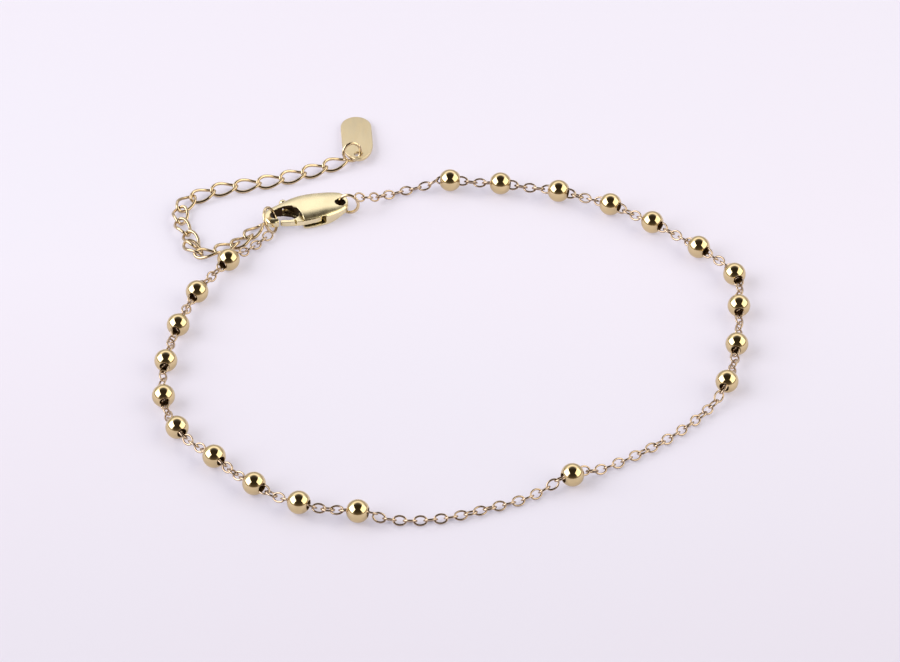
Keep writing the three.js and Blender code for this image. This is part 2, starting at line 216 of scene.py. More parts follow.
bead_gold = gold("mirror_gold", (0.69, 0.545, 0.30), 0.04, 1.6, 0.05, 0.04)
# The bore metal is rougher, like unpolished metal, and its near black colour is painted shade
# inside the holes.
bore_shade_gold = gold("rough_bore_painted_shade", (0.20, 0.12, 0.05), 0.5, 0.5, 0.1, 0.3)
chain_gold = gold("champagne_gold", (0.52, 0.40, 0.285), 0.07, 0.8, 0.08, 0.1)
curb_gold = gold("curb_gold", (0.60, 0.47, 0.30), 0.08, 0.8, 0.08, 0.1)
clasp_gold = gold("hand_polished_gold", (0.84, 0.735, 0.465), 0.26, 1.8, 0.05, 0.12)
# The inner metal is nearly black: painted shade for the clasp's mouth, its hole and the covered
# part of the lever.
inner_shade_gold = gold("inner_walls", (0.05, 0.028, 0.012), 0.4, 0.6, 0.12, 0.3)
ring_gold = gold("ring_gold", (0.72, 0.57, 0.36), 0.1, 0.8, 0.06, 0.1)
tag_gold = gold("satin_gold", (0.725, 0.612, 0.393), 0.42, 0.5, 0.04, 0.5, stretch=(1, 0.2, 1))
print("metals:", [m.name for m in bpy.data.materials if "gold" in m.name])

# %% [markdown]
# A bead is a ball with a hole drilled through it. A sphere is cut off flat at both poles
# where the drill went in, the two round openings are bridged by the wall of the hole, and a
# bevel softens the two rims, which catch a thin bright line on the real ones. A boolean cut
# would leave long thin faces there, and a mirror finish shows every one of them.

# %% One bead
BEAD_RADIUS = 1.5
BORE_RADIUS = 0.62
RIM = 0.09
bore_mouth = math.sqrt(BEAD_RADIUS**2 - BORE_RADIUS**2)
bpy.ops.mesh.primitive_uv_sphere_add(segments=48, ring_count=32, radius=BEAD_RADIUS)
bead = bpy.context.active_object
edit(bead)
for side in (-1, 1):
    bpy.ops.mesh.select_all(action="SELECT")
    bpy.ops.mesh.bisect(plane_co=(0, 0, side * bore_mouth), plane_no=(0, 0, side), clear_outer=True)
pick(bead, "EDGE", lambda edge: edge.is_boundary)
bpy.ops.mesh.bridge_edge_loops()
pick(bead, "EDGE", lambda edge: all(abs(abs(v.co.z) - bore_mouth) < 1e-4 for v in edge.verts))
bpy.ops.mesh.bevel(offset=RIM, segments=3, affect="EDGES")
bpy.ops.mesh.select_all(action="SELECT")
bpy.ops.mesh.normals_make_consistent(inside=False)
# The faces of the hole's wall get the dark bore metal: painted shade in the hole, on metal that is
# also rougher.
pick(bead, "FACE", lambda face: face.calc_center_median().xy.length < BORE_RADIUS + 0.02)
for slot_metal in (bead_gold, bore_shade_gold):
    bead.data.materials.append(slot_metal)
bead.active_material_index = 1
bpy.ops.object.material_slot_assign()
leave_edit()
bpy.ops.object.shade_smooth()
print("faces of a bead:", len(bead.data.polygons))

# %% [markdown]
# The beads are threaded in order from the clasp round to the end ring. Their places come
# from the frame. The chain's bare stretches and its ends are a few points listed in the
# same order, and each bead's hole points along the chain that runs through it.

# %% The route of the chain
BEADS = 21
FIRST_BEAD_LISTED_AT = Vector((-0.5, 27.4, 0))
RIGHT_RUN = [
    (33.4, -19.6, 0.8), (30.6, -23.2, 0.55), (26.6, -27.2, 0.55), (21.3, -31.2, 0.55),
    (17.8, -33.4, 0.8),
]
FRONT_RUN = [
    (12.0, -36.5, 0.8), (8.9, -38.6, 0.55), (4.3, -40.5, 0.55),
    (-0.4, -42.2, 0.55), (-5.2, -42.9, 0.55), (-9.2, -42.6, 0.8),
]
CLASP_RUN = [
    (-11.3, 23.1, 1.8), (-9.2, 24.9, 0.8), (-7.2, 26.0, 0.55), (-5.2, 26.8, 0.55),
    (-3.3, 27.1, 1.0),
]
END_RUN = [(-27.9, 12.2, 0.9), (-26.5, 13.9, 0.6)]


def middle(node):
    """The middle of a solid of the frame, in mm."""
    low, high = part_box(node)
    return (low + high) / 2 / MM


bead_places = [middle(f"bead_{i:02d}") for i in range(1, BEADS + 1)]
for place in bead_places:
    place.z = BEAD_RADIUS
to_frame = bead_places[0] - FIRST_BEAD_LISTED_AT
to_frame.z = 0


def laid(points):
    """Points as listed, moved to where the frame has the first bead."""
    return [Vector(p) + to_frame for p in points]


right_run, front_run, clasp_run, end_run = map(laid, (RIGHT_RUN, FRONT_RUN, CLASP_RUN, END_RUN))
bare_after = {9: right_run, 10: front_run, 20: end_run}
bare_before = {0: clasp_run, 10: right_run, 11: front_run}


def bore_direction(i):
    """The direction of a bead's hole, midway between the chain's before and after it."""
    here = bead_places[i]
    before = bare_before[i][-1] if i in bare_before else bead_places[i - 1]
    after = bare_after[i][0] if i in bare_after else bead_places[i + 1]
    direction = (here - before).xy.normalized() + (after - here).xy.normalized()
    return direction.to_3d().normalized()


bore_directions = [bore_direction(i) for i in range(BEADS)]
print("bead places shifted from the listed ones by", [round(x, 3) for x in to_frame])

# %% [markdown]
# Beads on a chain all face a little differently, because the chain bends as it passes through
# them. Each copy is turned so that its hole lies along the chain, and its mesh is baked in
# place. Linked copies would save memory, but every bead is a piece of its own in the frame.

# %% Thread the beads
for i in range(BEADS):
    turn = Vector((0, 0, 1)).rotation_difference(bore_directions[i]).to_matrix().to_4x4()
    node = f"bead_{i + 1:02d}"
    piece = copied(bead, Matrix.Translation(bead_places[i]) @ turn)
    finished(piece, f"polished_{node}", "anklet", "bead_gold", None, node)
bpy.data.objects.remove(bead)
print("beads threaded:", BEADS)

# %% [markdown]
# A link of the fine chain is an oval of round wire. A torus gives the wire, and moving each
# of its vertices outwards along the link, by the cosine of its angle, stretches the ring to
# an ellipse while the wire keeps its thickness. On a cable chain each link stands square to
# the next. Lying on a table they settle at 45 degrees to either side, so from the front one
# link shows its face and the next its edge.

# %% One cable link
LINK_LENGTH = 1.9
LINK_WIDTH = 1.42
LINK_WIRE = 0.28
LINK_PITCH = LINK_LENGTH - 2 * LINK_WIRE


def oval_link(length, width, wire, around=24, section=8):
    """An oval of round wire in the XY plane, long along X."""
    bpy.ops.mesh.primitive_torus_add(
        major_segments=around, minor_segments=section,
        major_radius=(width - wire) / 2, minor_radius=wire / 2)
    link = bpy.context.active_object
    for vertex in link.data.vertices:
        angle = math.atan2(vertex.co.y, vertex.co.x)
        vertex.co.x += (length - width) / 2 * math.cos(angle)
    bpy.ops.object.shade_smooth()
    return link


cable_link = oval_link(LINK_LENGTH, LINK_WIDTH, LINK_WIRE)
print("faces of a cable link:", len(cable_link.data.polygons))

# %% [markdown]
# Blender can repeat a link with an array along a curve, but that spaces the links by the
# curve's own measure and can't roll each one differently. Here a smooth line is drawn through
# a few points, its length is measured, and every link gets a place, a direction and a roll.


# %% Laying links along a line
def smooth_line(points, per_span=16):
    """Points along a smooth line through the given ones."""
    line = []
    last = len(points) - 1
    for i in range(last):
        p, q = points[i], points[i + 1]
        reach = (q - p).length / 3
        leaving = (q - points[max(i - 1, 0)]).normalized() * reach
        arriving = (points[min(i + 2, last)] - p).normalized() * reach
        line += interpolate_bezier(p, p + leaving, q - arriving, q, per_span + 1)[:-1]
    return line + [points[-1]]


def steps_along(line, count, at_ends=False):
    """Places and directions of evenly spaced links along a line."""
    lengths = [0]
    for a, b in zip(line, line[1:]):
        lengths.append(lengths[-1] + (b - a).length)
    for k in range(count):
        share = k / (count - 1) if at_ends else (k + 0.5) / count
        goal = share * lengths[-1]
        i = max(j for j in range(len(line) - 1) if lengths[j] <= goal or j == 0)
        a, b = line[i], line[i + 1]
        yield a.lerp(b, (goal - lengths[i]) / (b - a).length), (b - a).normalized()


def link_place(place, along, roll):
    """The matrix that lays a link at a place, long along the chain, rolled about it."""
    across = Vector((0, 0, 1)).cross(along).normalized()
    up = along.cross(across)
    turn = Matrix((along, across, up)).transposed().to_4x4()
    return Matrix.Translation(place) @ turn @ Matrix.Rotation(roll, 4, "X")


print("link pitch in mm:", round(LINK_PITCH, 2))

# %% [markdown]
# Each stretch of chain between two beads, or between a bead and a ring, is one piece. Its
# first and last links sit partly inside the holes, and a slow wander of the roll keeps the
# row from looking machine laid. A simulation could let the links fall into place, but their
# rhythm along a gentle curve is simple enough to lay by rule.


# %% Cable chain between the beads
def settled(piece):
    """Raises a piece that dips below the table until it rests on it."""
    lowest = min(vertex.co.z for vertex in piece.data.vertices)
    if lowest < 0:
        piece.data.transform(Matrix.Translation((0, 0, -lowest)))
    return piece


INSIDE_BEAD = 0.35
STRAIGHT_OUT = 0.75
CHAIN_SAG = 0.35
SETTLED_ROLL = math.radians(45)
ROLL_WANDER = math.radians(22)
WANDER_PER_LINK = 1.7
MOUTH_RADIUS = 0.65
inner = math.sqrt(BEAD_RADIUS**2 - MOUTH_RADIUS**2) - INSIDE_BEAD


def cable_run(name, line, at_ends=False):
    """Links along a line as one finished piece; returns how many there are."""
    length = sum((b - a).length for a, b in zip(line, line[1:]))
    count = math.ceil(length / LINK_PITCH) + (1 if at_ends else 0)
    parts = []
    for k, (place, along) in enumerate(steps_along(line, count, at_ends)):
        side = 1 if k % 2 == 0 else -1
        wave = math.sin(WANDER_PER_LINK * k + len(name) + place.x)
        roll = side * (SETTLED_ROLL - ROLL_WANDER * max(0, wave))
        parts.append(copied(cable_link, link_place(place, along, roll)))
    node = f"chain_run_{name}"
    run = settled(joined(parts))
    finished(run, f"cable_links_{name}", "anklet", "chain_gold", chain_gold, node)
    return count


def hole(i, side, reach=0.0):
    """A point in the mouth of a bead's hole, on the side that the chain leaves by."""
    return bead_places[i] + bore_directions[i] * side * (inner + reach)


links_laid = 0
for i in range(BEADS - 1):
    start, end = hole(i, 1), hole(i + 1, -1)
    name = f"{i + 1:02d}_to_{i + 2:02d}"
    if i in bare_after:
        first, last = hole(i, 1, STRAIGHT_OUT), hole(i + 1, -1, STRAIGHT_OUT)
        line = smooth_line([start, first, *bare_after[i], last, end])
    else:
        third = (end - start).length / 3
        down = Vector((0, 0, -CHAIN_SAG))
        leaving = start + bore_directions[i] * third + down
        arriving = end - bore_directions[i + 1] * third + down
        line = interpolate_bezier(start, leaving, arriving, end, 24)
    links_laid += cable_run(name, line)
print("links between beads:", links_laid)

# %% [markdown]
# Three jump rings join the parts: one in the clasp's tail, one that the hook catches and
# one at the tag. A jump ring is a turn of round wire cut through once, so a small circle is
# spun almost all the way round and both cut ends are closed. A torus would be one step, but
# it has no cut, and the cut is what tells a jump ring from a soldered one.

# %% Jump rings
RING_WIRE = 0.42
RING_CUT = math.radians(5)
END_CHAMFER, END_RISE = 0.05, 0.03
CLASP_HEADING = math.radians(16.5)


def jump_ring(node, diameter, facing, cut_at):
    """A ring of round wire at its node's middle, turned to face a direction."""
    radius = (diameter - RING_WIRE) / 2
    bpy.ops.mesh.primitive_circle_add(
        vertices=16, radius=RING_WIRE / 2, location=(radius, 0, 0), rotation=(math.pi / 2, 0, 0))
    ring = bpy.context.active_object
    bpy.ops.object.transform_apply(location=True, rotation=True)
    edit(ring)
    bpy.ops.mesh.select_all(action="SELECT")
    bpy.ops.mesh.spin(steps=56, angle=2 * math.pi - RING_CUT, center=(0, 0, 0), axis=(0, 0, 1))
    bpy.ops.mesh.select_all(action="SELECT")
    bpy.ops.mesh.fill_holes(sides=0)
    pick(ring, "FACE", lambda face: len(face.verts) > 4)
    bpy.ops.mesh.inset(thickness=END_CHAMFER, depth=END_RISE)
    bpy.ops.mesh.select_all(action="SELECT")
    bpy.ops.mesh.normals_make_consistent(inside=False)
    leave_edit()
    bpy.ops.object.shade_smooth_by_angle(angle=math.radians(50))
    turn = Vector((0, 0, 1)).rotation_difference(facing.normalized()).to_matrix().to_4x4()
    ring.data.transform(Matrix.Translation(middle(node)) @ turn @ Matrix.Rotation(cut_at, 4, "Z"))
    finished(ring, f"split_{node}", "anklet", "ring_gold", ring_gold, node)
    print(node, "at", [round(x, 2) for x in middle(node)], "faces", len(ring.data.polygons))


def clasp_axes(x, y, z):
    """A direction given along, across and above the clasp, in the frame's own axes."""
    return Matrix.Rotation(CLASP_HEADING, 3, "Z") @ Vector((x, y, z))


CLASP_RING = 3.0
END_RING = 3.8
TAG_RING = 2.9
CLASP_RING_FACES = clasp_axes(-0.49, -0.86, 0.15)
END_RING_FACES = clasp_axes(0.79, -0.44, 0.42)
TAG_RING_FACES = Vector((0.352, -0.874, 0.335))
jump_ring("clasp_ring", CLASP_RING, CLASP_RING_FACES, math.radians(200))
jump_ring("end_ring", END_RING, END_RING_FACES, math.radians(20))
jump_ring("tag_ring", TAG_RING, TAG_RING_FACES, math.radians(60))

# %% [markdown]
# The chain's two outer ends hook into jump rings, not into beads. So the outermost link of
# each of these two runs is placed first, at the wire of its ring, and the others are spread
# evenly from there to the nearest bead.

# %% Cable chain to the two rings
RING_SIDE = (0.95, -0.1, 0.57)
BEYOND_RING = 0.05
END_STOP = (-24.8, 15.9, 0.75)
from_ring = middle("clasp_ring") + clasp_axes(*RING_SIDE) * (CLASP_RING / 2 + BEYOND_RING)
from_clasp = [from_ring, *clasp_run, hole(0, -1, STRAIGHT_OUT), hole(0, -1)]
to_end = [hole(20, 1), hole(20, 1, STRAIGHT_OUT), *end_run, *laid([END_STOP])]
ring_links = cable_run("clasp_to_01", smooth_line(from_clasp), at_ends=True)
ring_links += cable_run("21_to_end", smooth_line(to_end), at_ends=True)
print("links to the rings:", ring_links)
bpy.data.objects.remove(cable_link)

# %% [markdown]
# The extension is an open curb chain: heavier ovals, each twisted about its own length so
# that the row lies flat. A twist of a quarter turn puts the two ends of a link square to
# each other, which is what lets them hook together in one plane, and it gives each link the
# pointed almond look that it has from above.

# %% One curb link
CURB_LENGTH = 4.05
CURB_WIDTH = 2.4
CURB_WIRE = 0.45
CURB_TWIST = math.radians(-84)
curb_link = oval_link(CURB_LENGTH, CURB_WIDTH, CURB_WIRE, around=40, section=12)
apply_modifier(curb_link, "SIMPLE_DEFORM", deform_method="TWIST", deform_axis="X", angle=CURB_TWIST)
print("faces of a curb link:", len(curb_link.data.polygons))

# %% [markdown]
# The extension turns back on itself in a wide bend. It could follow a curve like the fine
# chain, but it has only sixteen links, so their places are listed one by one, and each link
# is turned along the line between its two neighbours. They all have the same small roll,
# because a curb chain lies flat.

# %% The extension chain
CURB_LIES_AT = 0.52
CURB_ROLL = math.radians(12)
CURB_PLACES = [
    (-26.66, 17.1), (-28.2, 14.9), (-30.15, 13.6), (-32.6, 12.2), (-34.6, 13.3), (-34.95, 15.2),
    (-36.2, 18.0), (-36.65, 20.7), (-36.0, 23.4), (-33.8, 25.2), (-30.95, 26.6), (-27.85, 27.4),
    (-24.75, 28.3), (-21.75, 29.45), (-18.85, 30.8), (-16.05, 32.3),
]
curb_places = laid([(x, y, CURB_LIES_AT) for x, y in CURB_PLACES])
curb_parts = []
for k, place in enumerate(curb_places):
    before = curb_places[max(k - 1, 0)]
    after = curb_places[min(k + 1, len(curb_places) - 1)]
    along = (after - before).normalized()
    curb_parts.append(copied(curb_link, link_place(place, along, CURB_ROLL)))
curb_row = settled(joined(curb_parts))
finished(curb_row, "curb_links", "anklet", "chain_gold", curb_gold, "extension_chain")
bpy.data.objects.remove(curb_link)
print("curb links:", len(curb_places))

# %% [markdown]
# The clasp is cast and then polished, so nothing on it is a sharp corner. It could be
# sculpted, but its outline decides how it is recognised, so the outline comes first, as
# shares of the clasp's length and width. A circle's vertices are moved onto it and the face
# is raised to a plate. Cuts are made with booleans, and a remesh with a little smoothing
# rounds the edges that they leave.

# %% Outlines of the clasp
CLASP_LENGTH = 11.7
CLASP_WIDTH = 5.0
CLASP_THICKNESS = 2.1
CLASP_LISTED_AT = (-25.35, 18.85, 0)
CLASP_OUTSIDE = [
    (0.150, -0.265), (0.094, -0.280), (0.043, -0.244), (0.013, -0.150), (0.000, 0.000),
    (0.013, 0.150), (0.051, 0.285), (0.115, 0.370), (0.205, 0.445), (0.291, 0.520),
    (0.385, 0.598), (0.496, 0.648), (0.615, 0.655), (0.735, 0.618), (0.850, 0.575),
    (0.940, 0.500), (0.990, 0.360), (1.004, 0.120), (0.990, -0.070), (0.950, -0.190),
    (0.880, -0.285), (0.760, -0.375), (0.640, -0.425), (0.513, -0.445), (0.427, -0.430),
]
CLASP_MOUTH = [
    (0.427, -0.700), (0.427, -0.430), (0.425, -0.220), (0.400, 0.060), (0.345, 0.195),
    (0.262, 0.248), (0.188, 0.228), (0.120, 0.165), (0.078, 0.069), (0.072, -0.050),
    (0.095, -0.135), (0.150, -0.160), (0.150, -0.265), (0.150, -0.700),
]
CLASP_SLOT = [
    (0.342, -0.605), (0.701, -0.605), (0.684, -0.200), (0.632, 0.069), (0.564, 0.206),
    (0.530, 0.343), (0.513, 0.668), (0.231, 0.668), (0.248, 0.172), (0.342, 0.086),
]
LEVER_OUTLINE = [
    (0.177, -0.275), (0.274, -0.345), (0.393, -0.395), (0.513, -0.400), (0.624, -0.365),
    (0.658, -0.280), (0.615, -0.100), (0.564, 0.086), (0.496, 0.172), (0.419, 0.378),
    (0.350, 0.516), (0.316, 0.636), (0.256, 0.619), (0.252, 0.516), (0.322, 0.395),
    (0.378, 0.206), (0.408, 0.034), (0.395, -0.120), (0.300, -0.238), (0.177, -0.185),
]
LEVER_NOTCH = [(0.318, -0.600), (0.340, -0.600), (0.348, -0.270), (0.328, -0.270)]
TAIL_HOLE = (0.906, 0.028)


def clasp_point(share, z=0.0):
    """A share of the clasp's length and width as a point in mm."""
    return Vector((share[0] * CLASP_LENGTH, share[1] * CLASP_WIDTH, z))


def rounded(shares):
    """The outline through a table's points as one smooth closed line."""
    points = [clasp_point(s) for s in shares]
    line = smooth_line([points[-1], *points, points[0], points[1]], 4)
    return line[4:-5]


def plate(outline, low, high):
    """A flat plate with the given outline, from one height to another."""
    bpy.ops.mesh.primitive_circle_add(vertices=len(outline), radius=1, fill_type="NGON")
    piece = bpy.context.active_object
    for vertex, point in zip(piece.data.vertices, outline):
        vertex.co = (point.x, point.y, low)
    edit(piece)
    bpy.ops.mesh.select_all(action="SELECT")
    bpy.ops.mesh.extrude_region_move(TRANSFORM_OT_translate={"value": (0, 0, high - low)})
    bpy.ops.mesh.select_all(action="SELECT")
    bpy.ops.mesh.normals_make_consistent(inside=False)
    leave_edit()
    return piece


def cut(piece, cutter):
    """Takes the cutter's shape out of a piece."""
    apply_modifier(piece, "BOOLEAN", operation="DIFFERENCE", solver="EXACT", object=cutter)
    bpy.data.objects.remove(cutter)


def remelt(piece, grain, rounds):
    """Remeshes a piece into even faces and smooths its edges, as casting and polishing do."""
    apply_modifier(piece, "REMESH", mode="VOXEL", voxel_size=grain)
    apply_modifier(piece, "SMOOTH", factor=0.5, iterations=rounds)


print("clasp in mm:", CLASP_LENGTH, "by", CLASP_WIDTH, "by", CLASP_THICKNESS)

# %% [markdown]
# The top of the clasp is domed: it falls away to both long sides, and the hook and the tail
# are thinner than the middle. The plate is remeshed into small even faces first, because a
# dome needs vertices all over it, and then each vertex is given its height by where it lies.

# %% Dome of the clasp
SHELL_GRAIN = 0.1
CROWN = 0.1
ENDS_KEPT_OFF = 0.05
NARROWEST_HALF = 0.4
FLATTEST = 0.05
NEAR_FALL, FAR_FALL, UNDER_FALL = 0.72, 0.45, 0.2
HOOK_UNDER, HOOK_TOP = 0.6, 1.75
TAIL_UNDER, TAIL_TOP = 0.7, 1.9
half_height = CLASP_THICKNESS / 2


def step(value, start, end):
    """A soft step from 0 at start to 1 at end."""
    share = min(max((value - start) / (end - start), 0), 1)
    return share * share * (3 - 2 * share)


def heights(u):
    """The underside and top of the clasp at a share of its length."""
    hook = 1 - step(u, 0.05, 0.42)
    tail = step(u, 0.72, 0.96)
    under = HOOK_UNDER * hook + TAIL_UNDER * tail
    hook_fall = (CLASP_THICKNESS - HOOK_TOP) * hook
    tail_fall = (CLASP_THICKNESS - TAIL_TOP) * tail
    top = CLASP_THICKNESS - hook_fall - tail_fall
    return under, top


def edges_at(outline, x):
    """Where the outline's near and far sides lie across a place along the clasp."""
    crossings = []
    for a, b in zip(outline, outline[1:] + outline[:1]):
        if (a.x - x) * (b.x - x) <= 0 and a.x != b.x:
            crossings.append(a.y + (b.y - a.y) * (x - a.x) / (b.x - a.x))
    return (min(crossings), max(crossings)) if crossings else (0, 0)


outside = rounded(CLASP_OUTSIDE)
shell = plate(outside, 0, CLASP_THICKNESS)
apply_modifier(shell, "REMESH", mode="VOXEL", voxel_size=SHELL_GRAIN)
for vertex in shell.data.vertices:
    x, y, z = vertex.co
    near, far = edges_at(outside, min(max(x, ENDS_KEPT_OFF), CLASP_LENGTH - ENDS_KEPT_OFF))
    across = (y - (near + far) / 2) / max((far - near) / 2, NARROWEST_HALF)
    off_centre = min(abs(across), 1)
    side_fall = NEAR_FALL if across < 0 else FAR_FALL
    fall = side_fall if z > half_height else UNDER_FALL
    roundness = math.sqrt(max(1 - CROWN * off_centre**2 - fall * off_centre**4, FLATTEST))
    under, top = heights(x / CLASP_LENGTH)
    share = (z - half_height) / half_height
    centre, half = (under + top) / 2, (top - under) / 2
    vertex.co.z = centre + share * half * roundness
apply_modifier(shell, "SMOOTH", factor=0.5, iterations=8)
print("domed shell faces:", len(shell.data.polygons))

# %% [markdown]
# The mouth is open from below to above. The slot that the lever swings in is cut only through
# the middle of the thickness, so the shell stays closed over it, and a drill makes the tail's
# hole. A second remesh with a little smoothing then rounds every cut edge.

# %% Cut the clasp and round its edges
CAST_GRAIN = 0.06
LEVER_SLOT = 1.1
TAIL_HOLE_DIAMETER = 1.44
slot_low, slot_high = half_height - LEVER_SLOT / 2, half_height + LEVER_SLOT / 2
cut(shell, plate([clasp_point(s) for s in CLASP_MOUTH], -1, CLASP_THICKNESS + 1))
cut(shell, plate([clasp_point(s) for s in CLASP_SLOT], slot_low, slot_high))
bpy.ops.mesh.primitive_cylinder_add(
    vertices=48, radius=TAIL_HOLE_DIAMETER / 2, depth=6,
    location=clasp_point(TAIL_HOLE, half_height))
drill = bpy.context.active_object
cut(shell, drill)
remelt(shell, CAST_GRAIN, 4)
bpy.ops.object.shade_smooth()
print("clasp shell faces:", len(shell.data.polygons))

# %% [markdown]
# The walls inside the mouth and the tail's hole get painted shade: a second, nearly black metal,
# only a little rougher than the polish. They could be painted with a texture, but the faces that
# stand steep beside an opening are easy to find by their distance from its outline, and the darker
# metal is assigned to them.

# %% Paint shade on its inner walls
INNER_REACH = 0.25
STEEP = 0.6
mouth_line = [clasp_point(s) for s in CLASP_MOUTH[2:-2]]
tail_hole = clasp_point(TAIL_HOLE)


def by_the_opening(face):
    """Whether a face is close to the mouth's outline or to the tail's hole."""
    here = face.calc_center_median()
    flat = Vector((here.x, here.y, 0))
    if (flat - tail_hole).length < TAIL_HOLE_DIAMETER / 2 + INNER_REACH:
        return True
    for a, b in zip(mouth_line, mouth_line[1:]):
        share = intersect_point_line(flat, a, b)[1]
        if (flat - a.lerp(b, min(max(share, 0), 1))).length < INNER_REACH:
            return True
    return False


def darken_inner_walls(piece, wanted):
    """Gives the nearly black inner metal, painted shade, to the faces that wanted() accepts."""
    for slot_metal in (clasp_gold, inner_shade_gold):
        piece.data.materials.append(slot_metal)
    edit(piece)
    pick(piece, "FACE", wanted)
    piece.active_material_index = 1
    bpy.ops.object.material_slot_assign()
    leave_edit()
    print("faces with painted shade:", sum(face.material_index == 1 for face in piece.data.polygons))


darken_inner_walls(shell, lambda face: abs(face.normal.z) < STEEP and by_the_opening(face))

# %% [markdown]
# The lever turns in the slot on a pin. It is a thinner plate of the same metal, with a small
# round knob at the far side for a fingernail and a narrow notch across the top of its gate.
# The part of it that runs under the shell gets the nearly black inner metal, as painted shade
# where the shell covers it. It is a piece of its own, so that it can swing.

# %% Lever
LEVER_THICKNESS = 0.7
LEVER_GRAIN = 0.05
KNOB_RADIUS = 0.58
KNOB_PLACE = (0.292, 0.595)
NOTCH_DEPTH = 0.42
SHELL_COVERS_TO = 2.45
lever_low, lever_high = half_height - LEVER_THICKNESS / 2, half_height + LEVER_THICKNESS / 2
lever = plate(rounded(LEVER_OUTLINE), lever_low, lever_high)
bpy.ops.mesh.primitive_uv_sphere_add(
    segments=24, ring_count=16, radius=KNOB_RADIUS,
    location=clasp_point(KNOB_PLACE, half_height))
knob = bpy.context.active_object
bpy.ops.object.transform_apply(location=True)
lever = joined([lever, knob])
notch = plate([clasp_point(s) for s in LEVER_NOTCH], lever_high - NOTCH_DEPTH, lever_high + 1)
cut(lever, notch)
remelt(lever, LEVER_GRAIN, 5)
bpy.ops.object.shade_smooth()
# The faces under the shell get the dark inner metal as painted shade.
darken_inner_walls(lever, lambda face: 0 < face.calc_center_median().y < SHELL_COVERS_TO)
print("lever faces:", len(lever.data.polygons))

# %% [markdown]
# The shell and the lever were made together along the X axis, where shares of a length are
# easy to read. One matrix turns and moves both to where the clasp lies, so they stay fitted.

# %% Lay the clasp in its place
clasp_turn = Matrix.Rotation(CLASP_HEADING, 4, "Z")
clasp_place = Matrix.Translation(laid([CLASP_LISTED_AT])[0]) @ clasp_turn
for piece in (shell, lever):
    piece.data.transform(clasp_place)
finished(shell, "clasp_shell", "anklet", "clasp_gold", None, "clasp_body")
finished(lever, "clasp_gate", "clasp_lever", "clasp_gold", None, "clasp_lever")
print("clasp heads at", round(math.degrees(CLASP_HEADING), 1), "degrees")

# %% [markdown]
# The tag is a flat oval stamped from sheet, satin on its face, with a hole for its ring.
# Its free end is rounded short and its ring end long, each as half an ellipse. The outline
# is raised to the sheet's thickness, drilled and bevelled, and then leaned on the wire of
# its ring.

# %% Tag
TAG_LENGTH = 10.8
TAG_WIDTH = 4.2
TAG_THICKNESS = 0.5
TAG_EDGE = 0.12
TAG_HOLE_DIAMETER = 1.1
TAG_HOLE_FROM_END = 1.25
TAG_LIFT = 0.7
TAG_HEADING = math.radians(93.5)
TAG_FAR_ROUND = 2.6
TAG_NEAR_ROUND = 4.2
TAG_ARC_STEPS = 32
tag_outline = []
for side, reach in ((1, TAG_FAR_ROUND), (-1, TAG_NEAR_ROUND)):
    for k in range(TAG_ARC_STEPS + 1):
        angle = math.pi * (k / TAG_ARC_STEPS - 0.5)
        x = side * (TAG_LENGTH / 2 - reach + reach * math.cos(angle))
        tag_outline.append(Vector((x, side * TAG_WIDTH / 2 * math.sin(angle), 0)))
tag = plate(tag_outline, 0, TAG_THICKNESS)
hole_place = (TAG_HOLE_FROM_END - TAG_LENGTH / 2, 0, 0)
bpy.ops.mesh.primitive_cylinder_add(
    vertices=40, radius=TAG_HOLE_DIAMETER / 2, depth=3, location=hole_place)
drill = bpy.context.active_object
cut(tag, drill)
apply_modifier(
    tag, "BEVEL", width=TAG_EDGE, segments=4, limit_method="ANGLE", angle_limit=math.radians(50))
bpy.ops.object.shade_smooth_by_angle(angle=math.radians(35))
lean = Matrix.Rotation(math.asin(TAG_LIFT / TAG_LENGTH), 4, "Y")
tag.data.transform(Matrix.Rotation(TAG_HEADING, 4, "Z") @ lean)
tag_low = min(v.co.z for v in tag.data.vertices)
tag_place = middle("drop_tag")
tag_box = [[f(v.co[k] for v in tag.data.vertices) for f in (min, max)] for k in (0, 1)]
tag.data.transform(Matrix.Translation((
    tag_place.x - sum(tag_box[0]) / 2, tag_place.y - sum(tag_box[1]) / 2, -tag_low)))
finished(tag, "oval_tag", "anklet", "tag_gold", tag_gold, "drop_tag")
print("tag faces:", len(tag.data.polygons))

# %% [markdown]
# The table is a plain pale sheet with a painted glow: its surface gives off a little light of its
# own, which is what keeps the shadows faint. The painted glow grows from the front edge of the
# picture towards the back, and a slow noise stops the tone from being perfectly flat.

# %% Table
TABLE_SIZE = 8
TABLE_ROUGHNESS = 0.75
TONE_NOISE = 14
GLOW = 0.355
GLOW_FROM, GLOW_TO = -70 * MM, 10 * MM
bpy.ops.mesh.primitive_plane_add(size=TABLE_SIZE)
table = bpy.context.active_object
table.name = "table"
paper = bpy.data.materials.new("pale_table")
paper.use_nodes = True
sheet, join = paper.node_tree.nodes, paper.node_tree.links.new
shader = sheet["Principled BSDF"]
shader.inputs["Roughness"].default_value = TABLE_ROUGHNESS
shader.inputs["Emission Strength"].default_value = GLOW
where = sheet.new("ShaderNodeTexCoord")
noise = sheet.new("ShaderNodeTexNoise")
noise.inputs["Scale"].default_value = TONE_NOISE
tone = sheet.new("ShaderNodeValToRGB")
tone.color_ramp.elements[0].color = (0.56, 0.52, 0.58, 1)
tone.color_ramp.elements[1].color = (0.545, 0.54, 0.60, 1)
table_axes = sheet.new("ShaderNodeSeparateXYZ")
depth = sheet.new("ShaderNodeMapRange")
depth.inputs["From Min"].default_value = GLOW_FROM
depth.inputs["From Max"].default_value = GLOW_TO
glow = sheet.new("ShaderNodeValToRGB")
glow.color_ramp.elements[0].color = (0.585, 0.57, 0.72, 1)
glow.color_ramp.elements[1].color = (0.85, 0.83, 1.0, 1)
join(where.outputs["Object"], noise.inputs["Vector"])
join(noise.outputs["Fac"], tone.inputs["Fac"])
